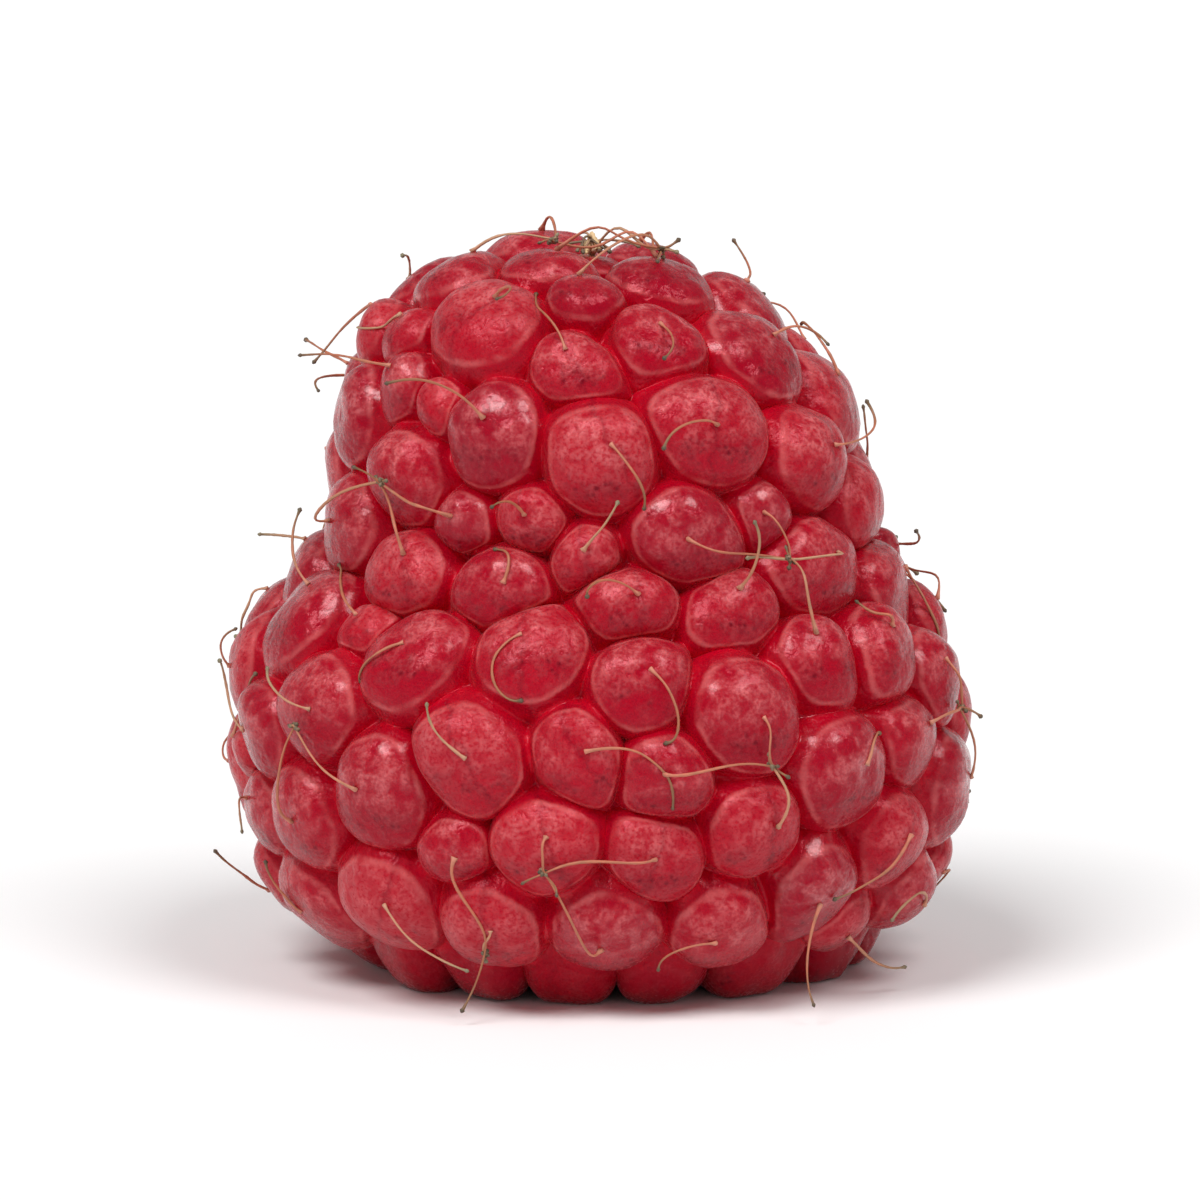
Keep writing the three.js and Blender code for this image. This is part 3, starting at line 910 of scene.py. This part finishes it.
class Nodes:
    """Short ways to add and link the nodes of one material."""

    def __init__(self, name):
        self.material = bpy.data.materials.new(name)
        self.material.use_nodes = True
        self.tree = self.material.node_tree
        self.shader = self.tree.nodes["Principled BSDF"]

    def add(self, kind, **settings):
        node = self.tree.nodes.new(kind)
        for key, value in settings.items():
            setattr(node, key, value)
        return node

    def link(self, source, target):
        self.tree.links.new(source, target)

    def set(self, socket, value):
        if isinstance(value, bpy.types.NodeSocket):
            self.link(value, socket)
        else:
            socket.default_value = (*value, 1) if isinstance(value, tuple) else value

    def attribute(self, name):
        return self.add("ShaderNodeAttribute", attribute_name=name).outputs["Fac"]

    def place(self):
        return self.add("ShaderNodeTexCoord").outputs["Object"]

    def height(self):
        """How high a point is, from 0 where the berry stands to 1 at its tip."""
        node = self.add("ShaderNodeSeparateXYZ")
        self.link(self.place(), node.inputs["Vector"])
        return self.math("DIVIDE", node.outputs["Z"], HEIGHT * MM)

    def noise(self, scale, detail=2.0, distortion=0.0):
        node = self.add("ShaderNodeTexNoise")
        self.link(self.place(), node.inputs["Vector"])
        node.inputs["Scale"].default_value = scale
        node.inputs["Detail"].default_value = detail
        node.inputs["Distortion"].default_value = distortion
        return node.outputs["Fac"]

    def cells(self, scale):
        """Round spots, one in each cell of a net."""
        node = self.add("ShaderNodeTexVoronoi")
        self.link(self.place(), node.inputs["Vector"])
        node.inputs["Scale"].default_value = scale
        return self.ramp(node.outputs["Distance"], (0.15, 1.0), (0.5, 0.0))

    def math(self, operation, *values):
        node = self.add("ShaderNodeMath", operation=operation)
        for socket, value in zip(node.inputs, values):
            self.set(socket, value)
        return node.outputs[0]

    def product(self, value, *masks):
        for mask in masks:
            value = self.math("MULTIPLY", value, mask)
        return value

    def ramp(self, value, *stops):
        """A level or a colour from a value, by straight lines through (from, to) stops."""
        node = self.add("ShaderNodeValToRGB")
        elements = node.color_ramp.elements
        while len(elements) < len(stops):
            elements.new(0.5)
        for element, (position, level) in zip(elements, stops):
            element.position = position
            element.color = (*level, 1) if isinstance(level, tuple) else (level, level, level, 1)
        self.link(value, node.inputs["Fac"])
        return node.outputs["Color"]

    def mix(self, factor, a, b):
        node = self.add("ShaderNodeMix", data_type="RGBA")
        for name, value in (("Factor", factor), ("A", a), ("B", b)):
            self.set(node.inputs[name], value)
        return node.outputs["Result"]

    def bump(self, height, strength, distance):
        node = self.add("ShaderNodeBump")
        self.link(height, node.inputs["Height"])
        node.inputs["Strength"].default_value = strength
        node.inputs["Distance"].default_value = distance
        self.link(node.outputs["Normal"], self.shader.inputs["Normal"])


# Waves or cells to a metre, and the depth of the grain.
BLOTCHES = 1300
MEDIUM = 2600
SPECKLE = 8500
SEED_NET = 4600
THREAD_SHADE = 3500
THREAD_ROUGHNESS = 5000
THREAD_GRAIN = 9000
GRAIN_DEPTH = 0.08
THREAD_GRAIN_DEPTH = 0.02

CREASE_RED = (0.33, 0.0, 0.01)
# Painted light: a brighter red laid into the deepest part of each seam, against the shade there.
SEAM_PAINTED_LIGHT = (0.5, 0.0, 0.012)
DARK_FLESH = (0.28, 0.0, 0.011)
BRIGHT_FLESH = (0.37, 0.0, 0.011)
SEED_RED = (0.13, 0.0, 0.006)
# Partly the skin's pale bloom, partly a painted highlight from the light above.
BLOOM_AND_HIGHLIGHT_PINK = (0.64, 0.155, 0.161)
# Painted sheen: the pale line round the edge of each dome.
RIM_PAINTED_SHEEN = (0.62, 0.14, 0.14)
BUD_CREAM = (0.72, 0.5, 0.26)
HOLLOW_RED = (0.27, 0.001, 0.02)
HOLLOW_BRIGHT = (0.6, 0.004, 0.018)
HOLLOW_FUZZ = (0.5, 0.13, 0.17)
ATTACHMENT_PINK = (0.95, 0.42, 0.34)
STYLE_COLORS = (
    (0.0, (0.64, 0.23, 0.155)),
    (0.1, (0.54, 0.16, 0.09)),
    (0.6, (0.42, 0.125, 0.06)),
    (0.85, (0.24, 0.11, 0.045)),
    (0.93, (0.09, 0.065, 0.035)),
    (1.0, (0.05, 0.04, 0.025)),
)
STYLE_SHADE = (0.2, 0.1, 0.05)
STYLE_STRAW = (0.55, 0.5, 0.3)
STYLE_WITHERED = (0.1, 0.07, 0.04)

SKIN_SHADER = {
    "IOR": 1.42,
    "Specular Tint": (1.0, 0.3, 0.36, 1),
    "Subsurface Weight": 0.35,
    "Subsurface Radius": (1.0, 0.16, 0.1),
    "Subsurface Scale": 0.0009,
    "Coat Roughness": 0.17,
    "Sheen Weight": 0.06,
    "Sheen Roughness": 0.4,
    "Sheen Tint": (1.0, 0.7, 0.68, 1),
}


class SkinNodes(Nodes):
    """The skin's material, and the levels that its layers share. "upper" goes from 0 at the lower
    edge of a drupelet to 1 at its upper edge."""

    def __init__(self):
        super().__init__("berry_skin")
        self.tone = self.attribute("tone")
        self.blotches = self.noise(BLOTCHES, 3)
        self.medium = self.noise(MEDIUM, 3, 0.5)
        self.speckle = self.noise(SPECKLE, 2)
        self.upper = self.math("MULTIPLY_ADD", self.attribute("below"), -0.5, 0.5)
        uneven_and_painted_shade = self.math("MULTIPLY_ADD", self.medium, 0.09, -0.045)
        # Painted shade: the seam is shifted with "upper", so the red of the seams reaches further
        # up the lower side of each drupelet, which the light from above misses, and stays narrow on
        # its upper side.
        uneven_and_painted_shade = self.math("MULTIPLY_ADD", self.upper, -0.07, uneven_and_painted_shade)
        self.seam = self.math("ADD", self.attribute("seam"), uneven_and_painted_shade)


def flesh_color(n):
    flesh = n.ramp(n.tone, (0.0, DARK_FLESH), (1.0, BRIGHT_FLESH))
    color = n.mix(n.ramp(n.seam, (0.68, 0.0), (0.82, 1.0)), flesh, CREASE_RED)
    # Painted light: the deepest part of each seam is made a brighter red, to offset its shade.
    return n.mix(n.ramp(n.attribute("seam"), (0.88, 0.0), (1.0, 0.6)), color, SEAM_PAINTED_LIGHT)


def bloom_and_painted_highlight(n):
    """Partly the pale bloom of the skin and partly a painted highlight. Patchy, and more even on
    the brightest drupelets; painted stronger on the upper side of each drupelet and near the tip,
    where the light from above falls.
    """
    patchy = n.ramp(n.blotches, (0.4, 0.07), (0.58, 1.0))
    evenness = n.ramp(n.tone, (0.55, 0.0), (0.85, 0.6))
    return n.product(
        n.ramp(n.seam, (0.0, 1.0), (0.55, 0.85), (0.7, 0.35), (0.79, 0.0)),
        n.ramp(n.upper, (0.18, 0.2), (0.72, 1.0)),
        n.math("MULTIPLY_ADD", evenness, n.math("SUBTRACT", 0.8, patchy), patchy),
        n.ramp(n.medium, (0.36, 0.3), (0.62, 1.0)),
        n.ramp(n.speckle, (0.36, 0.3), (0.6, 1.0)),
        n.ramp(n.tone, (0.0, 0.7), (1.0, 1.0)),
        n.ramp(n.height(), (0.1, 0.68), (0.55, 0.85), (0.95, 1.0)),
    )


def seed(n):
    """The net of the seed, in the lower half of some drupelets."""
    return n.product(
        n.ramp(n.upper, (0.12, 0.0), (0.32, 1.0), (0.52, 0.0)),
        n.ramp(n.attribute("seam"), (0.42, 1.0), (0.66, 0.0)),
        n.ramp(n.blotches, (0.42, 0.0), (0.54, 1.0)),
        n.math("MULTIPLY_ADD", n.cells(SEED_NET), 0.6, 0.38),
    )


def fold(n):
    """A dark line down the middle of some of the brighter drupelets."""
    wobble = n.math("MULTIPLY_ADD", n.blotches, 1.2, -0.6)
    aside = n.math("ABSOLUTE", n.math("ADD", n.attribute("fold"), wobble))
    line = n.ramp(aside, (0.0, 1.0), (0.06, 0.5), (0.16, 0.0))
    return n.product(line, n.ramp(n.tone, (0.5, 0.0), (0.62, 0.4)))


def streaks(n):
    """Dark streaks down the long drupelets round the mouth."""
    wave = n.math("MULTIPLY_ADD", n.blotches, 3.0, n.math("MULTIPLY", n.attribute("fold"), 5.5))
    streak = n.ramp(n.math("SINE", wave), (0.1, 0.0), (0.9, 0.5))
    return n.product(streak, n.attribute("streaked"))


def rim(n):
    """A thin, pale painted sheen where a dome turns down into its seam, standing in for the
    reflection at its edge.
    """
    return n.product(
        n.ramp(n.seam, (0.63, 0.0), (0.7, 0.45), (0.73, 0.45), (0.78, 0.0)),
        n.ramp(n.blotches, (0.38, 0.2), (0.58, 1.0)),
        n.math("MULTIPLY_ADD", n.attribute("streaked"), -0.9, 1.0),
    )


def hollow_color(n):
    """The wall of the hollow. There, "seam" is 1 between the inner ends of the drupelets, and
    "below" is how deep."""
    color = n.mix(n.ramp(n.blotches, (0.5, 0.0), (0.62, 0.8)), HOLLOW_RED, HOLLOW_BRIGHT)
    fuzz = n.product(
        n.ramp(n.attribute("seam"), (0.25, 0.0), (0.9, 0.8)),
        n.ramp(n.speckle, (0.35, 0.0), (0.6, 1.0)),
        n.ramp(n.attribute("below"), (0.1, 1.0), (0.7, 0.3)),
    )
    color = n.mix(fuzz, color, HOLLOW_FUZZ)
    return n.mix(n.attribute("pale"), color, ATTACHMENT_PINK)


def moisture(n):
    """The darkest drupelets are the moistest, and mirror the lights on their upper sides."""
    return n.product(
        n.ramp(n.tone, (0.15, 0.6), (0.65, 0.0)),
        n.ramp(n.upper, (0.45, 0.0), (0.62, 1.0)),
        n.ramp(n.medium, (0.4, 0.1), (0.58, 1.0)),
        n.ramp(n.attribute("hollow"), (0.0, 1.0), (0.1, 0.0)),
    )


def grain(n):
    """The fine relief of the skin, drawn in where the style grows."""
    coarse = n.math("MULTIPLY_ADD", n.blotches, 2.0, n.medium)
    relief = n.math("MULTIPLY_ADD", n.speckle, 0.4, coarse)
    return n.math("MULTIPLY_ADD", n.attribute("root"), -1.2, relief)


def skin_material():
    """Thin skin over red juice: saturated red in the seams, with a painted brighter red in their
    depths, and a paler, speckled bloom on the tops that is partly a painted highlight, with what
    shows through it, and a thin painted sheen round the edge of each dome."""
    n = SkinNodes()
    color = flesh_color(n)
    # Painted highlight, partly real bloom: paler pink on the upper sides of the drupelets and near
    # the tip.
    color = n.mix(bloom_and_painted_highlight(n), color, BLOOM_AND_HIGHLIGHT_PINK)
    color = n.mix(seed(n), color, SEED_RED)
    color = n.mix(fold(n), color, SEED_RED)
    color = n.mix(streaks(n), color, CREASE_RED)
    # Painted sheen: a pale line round each dome's edge.
    color = n.mix(rim(n), color, RIM_PAINTED_SHEEN)
    color = n.mix(n.attribute("pale"), color, BUD_CREAM)
    color = n.mix(n.attribute("hollow"), color, hollow_color(n))
    n.link(color, n.shader.inputs["Base Color"])
    gloss = n.math("MULTIPLY_ADD", n.tone, 0.1, -0.06)
    roughness = n.math("ADD", gloss, n.ramp(n.speckle, (0.3, 0.21), (0.7, 0.35)))
    n.link(roughness, n.shader.inputs["Roughness"])
    n.link(moisture(n), n.shader.inputs["Coat Weight"])
    n.bump(grain(n), 0.5, GRAIN_DEPTH * MM)
    n.shader.subsurface_method = "BURLEY"
    for name, value in SKIN_SHADER.items():
        n.shader.inputs[name].default_value = value
    return n.material


def style_material():
    """Dry thread: tan, pale at its root and brown towards its dark knob."""
    n = Nodes("dried_style")
    tone = n.attribute("tone")
    color = n.ramp(n.attribute("along"), *STYLE_COLORS)
    shade = n.ramp(n.noise(THREAD_SHADE, 2), (0.3, 0.45), (0.7, 0.0))
    color = n.mix(shade, color, STYLE_SHADE)
    color = n.mix(n.ramp(tone, (0.55, 0.0), (1.0, 0.35)), color, STYLE_STRAW)
    color = n.mix(n.math("SUBTRACT", tone, 1), color, STYLE_WITHERED)
    color = n.mix(n.math("MULTIPLY", tone, -1), color, BUD_CREAM)
    n.link(color, n.shader.inputs["Base Color"])
    roughness = n.ramp(n.noise(THREAD_ROUGHNESS), (0.3, 0.45), (0.7, 0.7))
    n.link(roughness, n.shader.inputs["Roughness"])
    n.bump(n.noise(THREAD_GRAIN, 2), 0.4, THREAD_GRAIN_DEPTH * MM)
    return n.material


# Stage

FLOOR_HALF = 3.0
FLOOR_WHITE = (0.94, 0.935, 0.935, 1)
FLOOR_ROUGHNESS = 0.6
STUDIO_LEVELS = ((0.1, 0.56), (0.6, 0.22))  # how far up, of 1 for overhead, and how bright

# Wide, even lights: the turn of each from the front, its height and its spread, in degrees, and
# its strength.
LIGHTS = (
    ("key", -42, 55, 28, 2.15),
    ("fill", 48, 57, 28, 1.45),
)


def make_floor():
    mesh = bpy.data.meshes.new("floor")
    corners = [(x * FLOOR_HALF, y * FLOOR_HALF, 0) for x, y in ((-1, -1), (1, -1), (1, 1), (-1, 1))]
    mesh.from_pydata(corners, [], [(0, 1, 2, 3)])
    floor = bpy.data.objects.new("floor", mesh)
    bpy.context.scene.collection.objects.link(floor)
    n = Nodes("pale_floor")
    n.shader.inputs["Base Color"].default_value = FLOOR_WHITE
    n.shader.inputs["Roughness"].default_value = FLOOR_ROUGHNESS
    mesh.materials.append(n.material)
    floor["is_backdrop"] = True


def make_world():
    """A white studio: bright all round, and softer overhead."""
    world = bpy.data.worlds.new("studio")
    world.use_nodes = True
    tree = world.node_tree
    background = tree.nodes["Background"]
    place = tree.nodes.new("ShaderNodeTexCoord")
    split = tree.nodes.new("ShaderNodeSeparateXYZ")
    ramp = tree.nodes.new("ShaderNodeValToRGB")
    tree.links.new(place.outputs["Generated"], split.inputs["Vector"])
    tree.links.new(split.outputs["Z"], ramp.inputs["Fac"])
    tree.links.new(ramp.outputs["Color"], background.inputs["Color"])
    for element, (position, level) in zip(ramp.color_ramp.elements, STUDIO_LEVELS):
        element.position = position
        element.color = (level, level, level, 1)
    bpy.context.scene.world = world


def add_light(name, turn, height, spread, strength):
    light = bpy.data.lights.new(name, "SUN")
    light.angle = math.radians(spread)
    light.energy = strength
    lamp = bpy.data.objects.new(name, light)
    turn, height = math.radians(turn), math.radians(height)
    across = math.cos(height)
    way = Vector((math.sin(turn) * across, -math.cos(turn) * across, math.sin(height)))
    lamp.rotation_euler = way.to_track_quat("Z", "Y").to_euler()
    bpy.context.scene.collection.objects.link(lamp)


CAMERA_DISTANCE = 0.34
CAMERA_ELEVATION = math.radians(10)
CAMERA_REACH = (0.01, 50)
BERRY_SHARE_OF_FRAME = 0.62
SENSOR = 36.0


def make_camera():
    """A long lens that looks a little down on the berry, which is in the middle."""
    low, high = (Vector(c) for c in cad_box)
    middle = (low + high) / 2
    camera = bpy.data.cameras.new("camera")
    camera.sensor_width = SENSOR
    width = (high.x - low.x) / BERRY_SHARE_OF_FRAME
    camera.lens = SENSOR * CAMERA_DISTANCE / width
    camera.clip_start, camera.clip_end = CAMERA_REACH
    eye = bpy.data.objects.new("camera", camera)
    reach = Vector((0, -math.cos(CAMERA_ELEVATION), math.sin(CAMERA_ELEVATION)))
    eye.location = middle + CAMERA_DISTANCE * reach
    eye.rotation_euler = (-reach).to_track_quat("-Z", "Y").to_euler()
    bpy.context.scene.collection.objects.link(eye)
    bpy.context.scene.camera = eye


bpy.context.scene.view_settings.view_transform = "Standard"
make_world()
for light in LIGHTS:
    add_light(*light)
make_floor()
make_camera()

points, tags, triangles, roots, outs = make_fruit()
berry = add_mesh("berry_skin", points, triangles, skin_material(), zip(TAGS, tags.T))
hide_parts("berry")
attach(berry, "root")
style_points, style_triangles, style_tags = make_styles(points, triangles, roots, outs)
styles = add_mesh("styles", style_points, style_triangles, style_material(), style_tags)
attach(styles, "root")

boxes = {"cad": cad_box, "visual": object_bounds()}
{k: [list(map(float, c)) for c in v] for k, v in boxes.items()}
